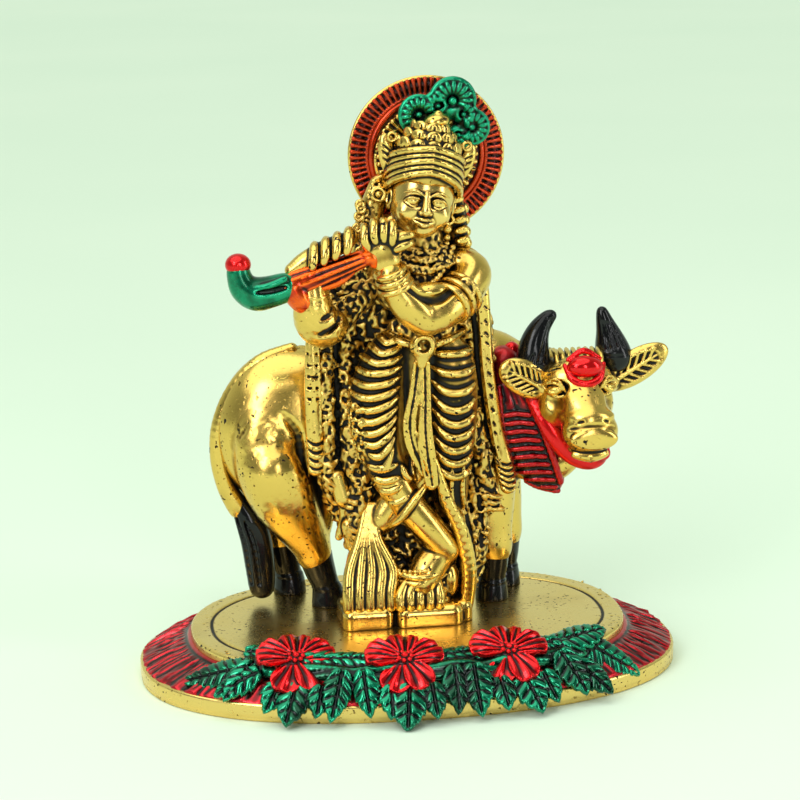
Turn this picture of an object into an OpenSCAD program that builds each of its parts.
// Flute-playing standing figure with a cow on an oval garlanded base.
// Cast metal pieces, pinned and screwed together. Millimetres, +Z up.
// Origin: centre of the flat underside. -Y is the front.
// Left and right in node names are the figure's and the cow's own sides.

/* [Base] */
// Width of the oval base, left to right
base_w = 120; // [114:1:126]
// Depth of the oval base, front to back
base_d = 76; // [73:1:80]
// Height of the platform's top above the ground
base_h = 10.5; // [10:0.5:12]
// Width of the platform on top
platform_w = 97; // [94:1:100]
// Depth of the platform on top
platform_d = 67; // [65:1:69]
// Thickness of the felt pad let into the underside
pad_t = 1; // [0.8:0.1:1.4]
// Squareness of the oval (2 is a true ellipse)
oval_n = 2.3; // [2:0.1:2.6]

/* [Halo] */
// Outer radius of the halo
halo_r = 17.2; // [16.5:0.1:17.8]
// Radial width of the ribbed outer ring
halo_ring_w = 3.8; // [3:0.1:4.4]
// Height of the halo's centre above the ground
halo_z = 113.3; // [112.5:0.1:114]

/* [Flute] */
// Radius of the flute's body
flute_r = 2.1; // [1.8:0.1:2.4]
// Radius of the ball on the flute's far end
flute_bead_r = 2.6; // [2.2:0.1:2.9]

/* [Garland] */
// Half-width of one flower
flower_r = 9; // [8:0.1:9.4]
// Length of one leaf
leaf_len = 15; // [13:0.5:16]

/* [Fasteners] */
// Radius of the screws' shanks
screw_r = 1.5; // [1.25:0.05:1.6]
// Radius of the screws' heads
screw_head_r = 2.9; // [2.6:0.1:3.2]

/* [Hidden] */

gold = [0.83, 0.62, 0.20];
dark_gold = [0.45, 0.34, 0.13];
enamel_red = [0.78, 0.07, 0.10];
enamel_orange = [0.85, 0.27, 0.05];
enamel_green = [0.02, 0.45, 0.30];
enamel_black = [0.03, 0.03, 0.03];
felt_grey = [0.15, 0.15, 0.16];

fit = 0.05;            // gap left round pins and screws
sides = 16;            // sides of a round limb
oval_sides = 72;       // sides of the base's oval
cow_y = 16.5;          // the cow's middle plane
hand_y = -9;           // the flute's plane, in front of the chest

// ---- shared shapes ------------------------------------------------------

function signed_pow(v, e) = sign(v) * pow(abs(v), e);

// points of a superellipse with half-widths a and b
function oval(a, b, n = oval_n, count = oval_sides) =
  [for (i = [0:count - 1]) let (t = 360 * i / count)
    [a * signed_pow(cos(t), 2 / n), b * signed_pow(sin(t), 2 / n)]];

// the same outline, lifted to height z and moved to (x, y)
function oval_at(a, b, z, x = 0, y = 0, n = oval_n, count = oval_sides) =
  [for (p = oval(a, b, n, count)) [p[0] + x, p[1] + y, z]];

function unit(v) = v / norm(v);

// ring round point p, square to direction d: half-width rv runs along
// the keel direction and half-width ru square to it
function ring(p, d, ru, rv, keel, count) =
  let (
    n = unit(d),
    side = unit(cross(n, keel)),
    up = cross(n, side)
  )
  [for (i = [0:count - 1]) let (t = 360 * i / count)
    p + side * ru * cos(t) + up * rv * sin(t)];

// closed skin over rings that all have the same number of points
module skin(rings) {
  n = len(rings[0]);
  m = len(rings);
  walls = [for (i = [0:m - 2], j = [0:n - 1])
    let (k = (j + 1) % n)
    each [[i * n + j, (i + 1) * n + j, (i + 1) * n + k], [i * n + j, (i + 1) * n + k, i * n + k]]];
  polyhedron(
    points = [for (r = rings) each r],
    faces = concat([[for (j = [0:n - 1]) j]], walls,
      [[for (j = [n - 1:-1:0]) (m - 1) * n + j]]));
}

// limb: rounded tube along a path of [x, y, z, half_width, half_depth],
// with the depth measured along the keel direction
module limb(path, count = sides, keel = [0, 1, 0]) {
  last = len(path) - 1;
  function point(i) = [path[i][0], path[i][1], path[i][2]];
  function heading(i) = point(min(i + 1, last)) - point(max(i - 1, 0));
  skin([for (i = [0:last])
    ring(point(i), heading(i), path[i][3], path[i][4], keel, count)]);
}

// body of stacked level ovals: [x, y, z, half_width, half_depth]
module stack(levels, n = 2.2, count = 28) {
  skin([for (s = levels) oval_at(s[3], s[4], s[2], s[0], s[1], n, count)]);
}

// plain ball stretched to half-widths r
module ball(p, r, tilt = [0, 0, 0]) {
  translate(p) rotate(tilt) scale([r[0], r[1], r[2]]) sphere(r = 1, $fn = 32);
}

// ring of round wire
module wire_ring(p, tilt, radius, wire) {
  translate(p) rotate(tilt)
    rotate_extrude($fn = 48) translate([radius, 0]) circle(r = wire, $fn = 20);
}

// countersunk screw standing head down on point p
module screw(p, length) {
  translate(p) {
    cylinder(r1 = screw_head_r, r2 = screw_r, h = screw_head_r - screw_r, $fn = 48);
    cylinder(r = screw_r, h = length, $fn = 48);
  }
}

// the hole that such a screw needs
module screw_hole(p, length) {
  translate(p - [0, 0, 2]) cylinder(r = screw_head_r + fit, h = 2.01, $fn = 48);
  translate(p) {
    cylinder(r1 = screw_head_r + fit, r2 = screw_r + fit, h = screw_head_r - screw_r, $fn = 48);
    cylinder(r = screw_r + fit, h = length + fit, $fn = 48);
  }
}

// ---- base ---------------------------------------------------------------

pad_inset = 3;
screw_z = pad_t + 1.2;
figure_screw_at = [0, 1.5, screw_z];
figure_screw_len = base_h + 3.2 - screw_z;
cow_screw_len = base_h + 4.5 - screw_z;
cow_screw_at = [[-17.6, 12.4, screw_z], [26, 19.8, screw_z]];

module base_plinth() color(gold) {
  a = base_w / 2;
  b = base_d / 2;
  pa = platform_w / 2;
  pb = platform_d / 2;
  // [share of the way from rim to platform, height]
  slope = [[0.06, 4.6], [0.22, 5.5], [0.42, 6.5], [0.62, 7.2], [0.82, 7.6], [1.06, 8.0]];
  difference() {
    skin(concat(
      [oval_at(a - 0.6, b - 0.6, 0), oval_at(a, b, 0.7), oval_at(a, b, 3.5),
       oval_at(a - 0.5, b - 0.4, 4.3)],
      [for (s = slope) oval_at(a + (pa - a) * s[0], b + (pb - b) * s[0], s[1])],
      [oval_at(pa - 0.2, pb - 0.2, 8.3), oval_at(pa, pb, base_h - 0.4),
       oval_at(pa - 0.5, pb - 0.5, base_h)]));
    translate([0, 0, -1]) linear_extrude(pad_t + 1)
      polygon(oval(a - pad_inset, b - pad_inset));
    screw_hole(figure_screw_at, figure_screw_len);
    for (p = cow_screw_at) screw_hole(p, cow_screw_len);
  }
}

module base_pad() color(felt_grey)
  linear_extrude(pad_t)
    polygon(oval(base_w / 2 - pad_inset - fit, base_d / 2 - pad_inset - fit));

module figure_screw() color(dark_gold)
  screw(figure_screw_at, figure_screw_len);

module cow_screws() color(dark_gold)
  for (p = cow_screw_at) screw(p, cow_screw_len);

// ---- garland ------------------------------------------------------------

// flowers stand on the front edge of the platform, tipped towards the front
flower_tip = 24;
flower_h = flower_r * 0.76;
flower_x = [-28.5, -6, 16.6];
function front_y(x, a, b) = -b * pow(1 - pow(abs(x) / a, oval_n), 1 / oval_n);
function flower_at(x) = [x, front_y(x, platform_w / 2, platform_d / 2) + 1.6, 11.1];

module flower(x) color(enamel_red)
  translate(flower_at(x)) rotate([flower_tip, 0, 0]) {
    difference() {
      union() {
        for (k = [0:4]) let (t = 90 + 72 * k)
          translate([flower_r * 0.58 * cos(t), flower_h * 0.58 * sin(t), 0])
            rotate([0, 0, atan2(flower_h * sin(t), flower_r * cos(t))])
              scale([flower_r * 0.42, flower_h * 0.46, 1.6]) sphere(r = 1, $fn = 24);
        scale([1, 1, 0.55]) sphere(r = flower_r * 0.3, $fn = 24);
      }
      translate([0, 0, -5.8]) cube([40, 40, 10], center = true);
    }
  }

module flower_left() flower(flower_x[0]);
module flower_middle() flower(flower_x[1]);
module flower_right() flower(flower_x[2]);

// leaves: [x and y of the middle, height, turn about Z, dip towards the rim, length share]
leaves = [
  [-46, -20, 7.0, 149, 16, 1.00], [-40.6, -28, 5.8, 222, 44, 0.75],
  [-30.5, -33.6, 5.8, 262, 46, 0.75], [-21.5, -35.4, 5.8, 270, 46, 0.75],
  [-7, -36.6, 6.0, 270, 46, 0.82], [7.5, -36.2, 5.8, 275, 46, 0.75],
  [20.5, -35.0, 5.8, 282, 46, 0.75], [29, -32.6, 5.9, 292, 44, 0.75],
  [31.5, -24.5, 11.2, 20, 4, 0.80], [40, -25, 7.0, 346, 30, 1.00]
];

// pointed leaf with a raised midrib, tip along +X
module leaf(i) color(enamel_green) {
  s = leaves[i];
  l = leaf_len * s[5];
  // [place along the leaf, half-width, arch of the midrib]
  outline = [[-0.5, 0.05, 0.2], [-0.38, 0.2, 0.7], [-0.2, 0.3, 1.1], [0, 0.33, 1.3],
    [0.2, 0.26, 1.1], [0.36, 0.15, 0.6], [0.5, 0.03, 0.1]];
  translate([s[0], s[1], s[2]]) rotate([0, 0, s[3]]) rotate([0, s[4], 0])
    skin([for (o = outline) let (x = o[0] * l, w = o[1] * l, h = o[2])
      [[x, -w, -0.5], [x, -w * 0.5, h * 0.6], [x, 0, h + 0.3], [x, w * 0.5, h * 0.6],
       [x, w, -0.5], [x, w * 0.5, -1.1], [x, 0, -1.3], [x, -w * 0.5, -1.1]]]);
}

// ---- figure: feet, legs and dress ---------------------------------------

block_top = base_h + 4.5;

module foot_block() color(gold) difference() {
  stack([[-0.7, 0.3, base_h, 13.6, 7.2], [-0.7, 0.3, base_h + 0.8, 14.4, 8],
    [-0.7, 0.3, block_top - 0.8, 14.2, 7.8], [-0.7, 0.3, block_top, 13.4, 7]], 2.6, 40);
  screw_hole(figure_screw_at, figure_screw_len);
}

// the leg that carries the weight; its foot points to the front left
module left_leg() color(gold) {
  limb([[6, 1, 47, 5, 5], [2, 0.5, 40, 4.6, 4.6], [-3, 0, 33, 3.6, 3.6],
    [-7.5, -1.5, 29, 2.9, 2.9], [-9, -3.2, 24.5, 3.8, 2.9], [-10.2, -4.4, 19.5, 4.7, 2.4],
    [-10.6, -5, 16.4, 4.7, 2.1], [-10.4, -4, 14.8, 4.4, 1.8]]);
}

// the leg crossed in front; its foot points straight to the front
module right_leg() color(gold) {
  limb([[-5, -3, 46, 5.2, 4.4], [-1, -4, 38, 4.4, 3.8], [3.8, -3.6, 31, 3.3, 3.1],
    [6, -2.8, 26.5, 3.2, 3.2], [4.4, -3.8, 22.5, 4.6, 3.4], [3.2, -5.2, 18.8, 6.4, 3.2],
    [2.8, -6, 16.6, 7, 2.6], [2.8, -5.4, 14.8, 6.8, 2.2]]);
}

module anklet() color(gold)
  translate([4.4, -3.8, 23.3]) scale([1, 0.76, 1])
    rotate_extrude($fn = 48) translate([5, 0]) circle(r = 0.8, $fn = 20);

module dhoti() color(dark_gold)
  stack([[-1, -0.8, 36, 7.5, 4.2], [-0.5, -1, 40, 12.5, 5.4], [0.6, -1, 47, 14.6, 6.4],
    [1.6, -0.8, 55, 15.4, 7], [2.6, -0.5, 63, 15, 7.1], [3.4, -0.3, 69, 12, 6.2],
    [4, 0, 73.5, 9.2, 5.2]], 2.1, 32);

module belt() color(gold) {
  translate([4.1, 0, 73.4]) rotate([0, 4, 0]) scale([1, 0.6, 1])
    rotate_extrude($fn = 48) translate([9, 0]) circle(r = 1.1, $fn = 20);
  translate([3.1, -4.6, 72.6]) rotate([90, 0, 0]) difference() {
    cylinder(r = 3.2, h = 3, $fn = 48);
    translate([0, 0, 0.8]) cylinder(r = 1.4, h = 4, $fn = 32);
  }
}

// two long tails that hang from the buckle and cross over
module sash() color(gold) {
  limb([[3.1, -7.2, 69.6, 1.6, 1.2], [1.4, -8, 63, 1.5, 1], [0.6, -8.4, 56, 1.6, 1],
    [1.8, -8.2, 49, 1.7, 1], [4.6, -7.4, 44, 1.3, 0.9]], 12);
  limb([[3.4, -7.2, 69.6, 1.6, 1.2], [4.2, -8, 63, 1.2, 1], [4.4, -8.4, 57, 1.4, 1],
    [4.2, -8.6, 50, 2, 1.1], [5.2, -7.8, 42.5, 1.6, 0.9]], 12);
}

// ---- figure: trunk and arms ---------------------------------------------

module torso() color(gold)
  stack([[4.1, 0.2, 73, 8.4, 4.6], [4.2, 0, 77, 8.2, 4.9], [4.3, -0.2, 82, 9.6, 5.6],
    [4.3, 0, 86.5, 11.4, 5.8], [4.2, 0.4, 89.6, 11.4, 5], [4.6, 0.8, 91.6, 7, 3.6],
    [4.8, 0.6, 93.6, 3.6, 3.4], [4.9, 0.4, 97, 3.4, 3.4]], 2.2, 32);

module left_arm() color(gold) {
  limb([[13.2, 0.6, 90.4, 2.6, 2.6], [14.6, 0, 87.5, 3.6, 3.6], [13.8, -2.5, 84, 3.5, 3.5],
    [10.6, -6, 80.6, 3.2, 3.2], [6, -9, 79.4, 3.3, 3.3], [2.6, -10, 80.8, 3, 3],
    [-0.5, -9.8, 85, 2.6, 2.6], [-3.6, -9.4, 90, 2.1, 2.1]]);
}

module right_arm() color(gold) {
  limb([[-4.4, 0.8, 89.6, 2.6, 2.6], [-6.6, 0.4, 87, 3.4, 3.4], [-11, -1.4, 81.6, 3.2, 3.2],
    [-16.4, -4, 77, 3.3, 3.3], [-19.2, -5.6, 76.6, 3.4, 3.4], [-21.4, -6.8, 80, 3, 3],
    [-21.8, -7.6, 84.8, 2.4, 2.4], [-21, -8, 88.6, 2, 2]]);
}

// the back of the near hand and the fingers closed over the flute
module left_hand() color(gold) {
  ball([-4.9, -9.4, 93.4], [2.9, 2.4, 3.4], [0, -20, 0]);
  for (k = [0:3])
    ball([-7.4 + 1.75 * k, -10.2, 96.4 + 0.5 * k], [0.9, 1.5, 2.4], [0, -12, 0]);
}

module right_hand() color(gold) {
  limb([[-25.4, -8.6, 91.2, 2.2, 1.8], [-22, -9, 93.2, 2.8, 2.6], [-17.6, -9.2, 95.2, 2.8, 2.8],
    [-13.6, -9, 96.8, 2.4, 2.4], [-11.4, -8.6, 97.6, 1.4, 1.4]], 14);
}

module bangles() color(gold) {
  for (k = [0:1]) wire_ring([-2.6 - 0.9 * k, -9.5, 88.3 + 1.5 * k], [0, -32, 0], 2.5, 0.6);
  for (k = [0:1]) wire_ring([-21.6 + 0.1 * k, -7.6, 84 + 1.5 * k], [14, 6, 0], 2.6, 0.6);
}

module armlet() color(gold)
  for (k = [0:1]) wire_ring([13.9, -1.9 - 0.9 * k, 85 - 0.9 * k], [-38, 20, 0], 3.7, 0.55);

module necklace() color(gold) {
  translate([4.3, -0.6, 92.4]) rotate([20, 0, 0]) scale([1, 0.8, 1])
    rotate_extrude($fn = 48) translate([5.4, 0]) circle(r = 0.9, $fn = 20);
  translate([4.2, -1.6, 90.6]) rotate([34, 0, 0]) scale([1, 0.72, 1])
    rotate_extrude($fn = 48) translate([7.4, 0]) circle(r = 0.9, $fn = 20);
  ball([3.4, -6.4, 86.6], [1.6, 1, 2], [0, 0, 0]);
}

// ---- figure: shawl ------------------------------------------------------

// the cloth that hangs behind from shoulders to calves
module shawl_back() color(dark_gold)
  stack([[3.4, 5, 16.6, 9, 1.6], [3, 4.6, 24, 13, 2], [0.4, 4.8, 32, 17.6, 2.2],
    [0.2, 5, 44, 20.4, 2.3], [0.4, 5, 60, 20.4, 2.2], [2.2, 5, 74, 18.4, 2.2],
    [4.2, 4.6, 84, 14.6, 2.2], [4.6, 4, 91, 9.6, 2], [4.6, 3.6, 96, 4.4, 1.6]], 2.6, 28);

module shawl_left() color(gold)
  limb([[11.6, 2.4, 92.6, 1.8, 1.4], [16.6, 2, 89.4, 1.4, 1.6], [18.8, 1.4, 80, 1.2, 1.5],
    [20.8, 1, 66, 1.4, 1.5], [22.6, 1, 52, 1.7, 1.6], [23.4, 1.4, 43, 2, 1.6],
    [22.8, 1.6, 37.4, 1.9, 1.4]], 14);

module shawl_right() color(gold) {
  limb([[-18.8, 2.6, 72, 1.6, 1.4], [-19.6, 2, 64, 1.9, 1.5], [-19.8, 1.8, 56, 1.9, 1.5],
    [-19.4, 1.6, 49, 2, 1.5], [-18.8, 1.6, 43.6, 1.7, 1.3]], 14);
  limb([[-15, 1, 52, 1.6, 1.3], [-14.4, 0.4, 44, 2.1, 1.4], [-13.2, 0.2, 36, 2.1, 1.4],
    [-12.4, 0, 29, 1.6, 1.2]], 14);
}

// ---- figure: head -------------------------------------------------------

head_lean = 9;   // degrees the head leans to its own left
head_at = [3.6, -1.6, 104.2];

module head() color(gold) translate(head_at) rotate([0, head_lean, 0]) {
  stack([[0, 0.6, -9.6, 1.6, 1.6], [0, 0.2, -8.6, 3.4, 3.6], [0, 0.2, -6.4, 5, 5.2],
    [0, 0.4, -3, 6.2, 6.2], [0, 0.6, 1, 6.7, 6.6], [0, 0.8, 5, 6.7, 6.6],
    [0, 1, 8.6, 5.8, 5.8], [0, 1.2, 11, 3.6, 3.8]], 2.05, 28);
  ball([0, -6.4, -1.6], [1.1, 1.6, 2.2], [-14, 0, 0]);
}

// column of curls down the side of the neck
module hair_left() color(dark_gold)
  for (k = [0:5]) ball([11.6 + 0.35 * k, 0.6, 106.4 - 2.7 * k], [2, 2.2, 1.7]);

module hair_right() color(dark_gold)
  for (k = [0:5]) ball([-5 - 0.8 * k, 0.8, 106.6 - 3 * k], [2.5, 2.3, 2]);

module crown() color(gold) translate(head_at) rotate([0, head_lean, 0]) {
  stack([[0, 0.6, 4.2, 7.6, 7.2], [0, 0.8, 5.4, 8.2, 7.7], [0, 0.8, 8.6, 8.4, 7.9],
    [0, 1, 11, 8, 7.5], [0, 1, 12.2, 7, 6.6], [0, 1.2, 14.4, 5.6, 5.4],
    [0, 1.4, 16.6, 3.6, 3.6]], 2.05, 32);
}

module crown_finial() color(gold) translate(head_at) rotate([0, head_lean, 0]) {
  ball([0, 1.2, 17.4], [2.6, 2.4, 2]);
  ball([0, 1.2, 19.4], [1.4, 1.3, 1.1]);
}

// feather plume: three curled clusters that fan over the crown
module crest() color(enamel_green) {
  plume = [[1.2, 4, 121.4, 3.4], [3.4, 3.8, 124.6, 3], [10, 3.4, 127, 4.2],
    [13.4, 3.6, 124.4, 3.8], [16.6, 3.8, 119, 3.6]];
  for (s = plume) ball([s[0], s[1], s[2]], [s[3], 2.2, s[3] * 0.86]);
}

// ---- figure: halo -------------------------------------------------------

halo_at = [6.6, 7.4, halo_z];
disc_t = 1.8;

module halo_disc() color(enamel_red) translate(halo_at) rotate([90, 0, 0])
  cylinder(r = halo_r - halo_ring_w - fit, h = disc_t, center = true, $fn = 96);

module halo_ring() color(enamel_orange) translate(halo_at) rotate([90, 0, 0])
  rotate_extrude($fn = 96) translate([halo_r - halo_ring_w, 0])
    polygon([[0, -disc_t / 2], [halo_ring_w - 0.4, -disc_t / 2], [halo_ring_w, -disc_t / 4],
      [halo_ring_w, disc_t / 3], [halo_ring_w * 0.7, disc_t * 0.72],
      [halo_ring_w * 0.25, disc_t * 0.72], [0, disc_t / 2]]);

// ---- flute --------------------------------------------------------------

flute_tip = [-1.5, hand_y, 97.2];
flute_mid = [-26.4, hand_y, 87.9];

module flute_body() color(enamel_orange) {
  way = flute_mid - flute_tip;
  translate(flute_tip) rotate([0, 90 + atan2(-way[2], way[0]), 0])
    mirror([0, 0, 0]) cylinder(r = flute_r, h = norm(way), $fn = 48);
  ball([-23.4, hand_y - 0.2, 85.4], [1.7, 1.7, 3], [0, 14, 0]);
}

// curved end like a bird's neck
module flute_neck() color(enamel_green)
  limb([[-26.5, hand_y, 87.9, 2.5, 2.5], [-29, hand_y, 86.9, 2.9, 2.9],
    [-31.6, hand_y, 86.1, 2.8, 3], [-34.2, hand_y, 86.2, 2.4, 2.9],
    [-36, hand_y, 87.9, 2.1, 2.5], [-36.8, hand_y, 90, 1.9, 2], [-36.8, hand_y, 91.6, 1.5, 1.5]]);

module flute_bead() color(enamel_red) ball([-36.7, hand_y, 93.5], [1, 1, 1] * flute_bead_r);

// ---- cow ----------------------------------------------------------------

module cow_body() color(gold) {
  difference() {
    limb([[-39.4, cow_y, 47, 4, 3], [-38, cow_y, 48, 11, 8], [-33, cow_y, 49, 17.4, 10.4],
      [-25, cow_y, 50, 19.4, 11], [-14, cow_y, 49.6, 18.8, 11], [-2, cow_y, 48.6, 17, 10.6],
      [10, cow_y, 48.6, 16.4, 10.4], [20, cow_y, 50, 16.6, 10], [27, cow_y - 2, 53, 15, 8.6],
      [32, cow_y - 6, 55, 12, 7], [36, cow_y - 10, 57, 8.4, 5.4]], 24);
    translate([0, cow_y, 24]) rotate([90, 0, 0]) scale([1.1, 1, 1])
      cylinder(r = 11, h = 40, center = true, $fn = 64);
  }
}

module cow_head() color(gold) {
  limb([[39.6, 7, 61, 5.4, 5.6], [39.8, 4.4, 60.8, 7.6, 7.6], [40, 1, 59.6, 7.4, 7.9],
    [40, -2.6, 57.4, 6.2, 6.6], [39.9, -6, 54.6, 5.2, 5.6], [39.8, -9, 52.4, 5, 6.2],
    [39.8, -10.6, 51.4, 4, 5]], 20, [1, 0, 0]);
}

module cow_horn_right() color(enamel_black)
  limb([[32, 5, 65.6, 2.7, 2.7], [30.6, 5, 69.6, 2.4, 2.4], [30.9, 4.6, 73.4, 1.9, 1.9],
    [32.4, 4.2, 76.4, 1.2, 1.2], [34, 4, 78.4, 0.4, 0.4]], 14);

module cow_horn_left() color(enamel_black)
  limb([[48.4, 5, 67.4, 2.7, 2.7], [50.2, 5, 70.6, 2.4, 2.4], [49.8, 4.6, 74.2, 1.9, 1.9],
    [47.8, 4.2, 77, 1.2, 1.2], [45.8, 4, 78.6, 0.4, 0.4]], 14);

module cow_ear_right() color(gold)
  limb([[34, 3.6, 61, 1.8, 1.2], [30.4, 3.8, 61.6, 3.2, 1.4], [27, 4, 62.6, 3.2, 1.2],
    [24.4, 4.2, 64.2, 0.8, 0.6]], 12);

module cow_ear_left() color(gold)
  limb([[46.4, 3.6, 61.6, 1.8, 1.2], [51, 3.8, 63.4, 3.4, 1.4], [55.6, 4, 66, 3, 1.2],
    [59, 4.2, 68, 0.8, 0.6]], 12);

// the tail lies over the rump and hangs into a black tuft
module cow_tail() color(gold)
  limb([[-25, cow_y, 69.4, 1, 1], [-30.6, cow_y, 66.4, 1.5, 1.5],
    [-36.4, cow_y, 60.4, 1.6, 1.6], [-39.6, cow_y, 53, 1.6, 1.6],
    [-40.4, cow_y, 45.6, 1.6, 1.6], [-39, cow_y, 38.6, 1.7, 1.7],
    [-36.2, cow_y, 34, 2, 2], [-35.2, cow_y, 32.6, 1.6, 1.6]], 12);

module cow_tail_tuft() color(enamel_black)
  limb([[-35.4, cow_y, 34, 2.2, 2.2], [-34, cow_y, 31, 3.2, 3],
    [-32.8, cow_y, 26, 3.4, 3.2], [-32, cow_y, 20, 3.1, 3],
    [-31.6, cow_y, 15.4, 3.1, 2.8], [-31.4, cow_y, 12.6, 2.2, 2.2],
    [-31.4, cow_y, 11.6, 0.8, 0.8]], 14);

// where each hoof stands: [x, y, lean of the shank in X]
near_hind = [-17.6, 12.4, -3];
far_hind = [-24, 23.4, -2];
near_fore = [20.8, 9.4, 1];
far_fore = [26, 19.8, 0];
sock_h = 11.5;

// black stocking and hoof, standing on the platform
module hoof(at) difference() {
  stack([[at[0], at[1], base_h, 3.4, 3.8], [at[0], at[1], base_h + 2.6, 3.5, 3.6],
    [at[0] + at[2] * 0.1, at[1], base_h + 4.6, 2.8, 2.9],
    [at[0] + at[2] * 0.5, at[1], base_h + 8, 3.2, 3.2],
    [at[0] + at[2], at[1], base_h + sock_h, 3.7, 3.7]], 2.1, 24);
  for (p = cow_screw_at) screw_hole(p, cow_screw_len);
}

module cow_hooves() color(enamel_black)
  for (at = [near_hind, far_hind, near_fore, far_fore]) hoof(at);

// shank and thigh, from the stocking up into the body:
// [x, y, z, half_width, half_depth] of each level above the stocking
module cow_leg(at, levels)
  stack(concat([[at[0] + at[2], at[1], base_h + sock_h, 3.7, 3.7]], levels), 2.1, 24);

module cow_hind_legs() color(gold) {
  cow_leg(near_hind, [[-22.4, 12.4, 27, 6.2, 4.8], [-25.4, 12.4, 34, 9, 6.4],
    [-27, 12.6, 43, 10, 7.4], [-26.4, 13, 52, 8, 6]]);
  cow_leg(far_hind, [[-27, 22.4, 27, 6, 4.4], [-28, 21.6, 36, 7.6, 5], [-27, 21, 44, 6, 4.6]]);
}

module cow_fore_legs() color(gold) {
  cow_leg(near_fore, [[21.8, 10.2, 27, 4, 3.8], [21.6, 11, 34, 5, 4.6],
    [21, 12, 42, 5.6, 5]]);
  cow_leg(far_fore, [[25.6, 20, 27, 4, 3.8], [24.4, 20.4, 34, 5, 4.4], [23, 20, 42, 5.4, 4.6]]);
}

// cloth band that hangs from the neck to a point
module cow_neck_cloth() color(enamel_red)
  limb([[26.6, 9.6, 66, 2.6, 3], [26, 7.8, 60, 3.6, 7.4], [28.6, 6.6, 52, 5, 8],
    [32, 5.2, 45, 4.8, 6.4], [34.6, 4.2, 40, 3, 4], [36, 3.4, 37, 1, 1.2]], 16);

module cow_jewels() color(enamel_red) {
  ball([40.6, -0.6, 66.2], [3, 1.6, 1.9], [-38, 0, 0]);
  ball([27, 11.4, 68.4], [1.2, 1.2, 1.4]);
}

// ---- pieces -------------------------------------------------------------

base_plinth();
base_pad();
figure_screw();
cow_screws();
flower_left();
flower_middle();
flower_right();
leaf(0);  // leaf_1
leaf(1);  // leaf_2
leaf(2);  // leaf_3
leaf(3);  // leaf_4
leaf(4);  // leaf_5
leaf(5);  // leaf_6
leaf(6);  // leaf_7
leaf(7);  // leaf_8
leaf(8);  // leaf_9
leaf(9);  // leaf_10
foot_block();
left_leg();
right_leg();
anklet();
dhoti();
sash();
belt();
torso();
left_arm();
right_arm();
left_hand();
right_hand();
bangles();
armlet();
shawl_back();
shawl_left();
shawl_right();
necklace();
head();
hair_left();
hair_right();
crown();
crown_finial();
crest();
halo_disc();
halo_ring();
flute_body();
flute_neck();
flute_bead();
cow_body();
cow_head();
cow_horn_left();
cow_horn_right();
cow_ear_left();
cow_ear_right();
cow_tail();
cow_tail_tuft();
cow_fore_legs();
cow_hind_legs();
cow_hooves();
cow_neck_cloth();
cow_jewels();
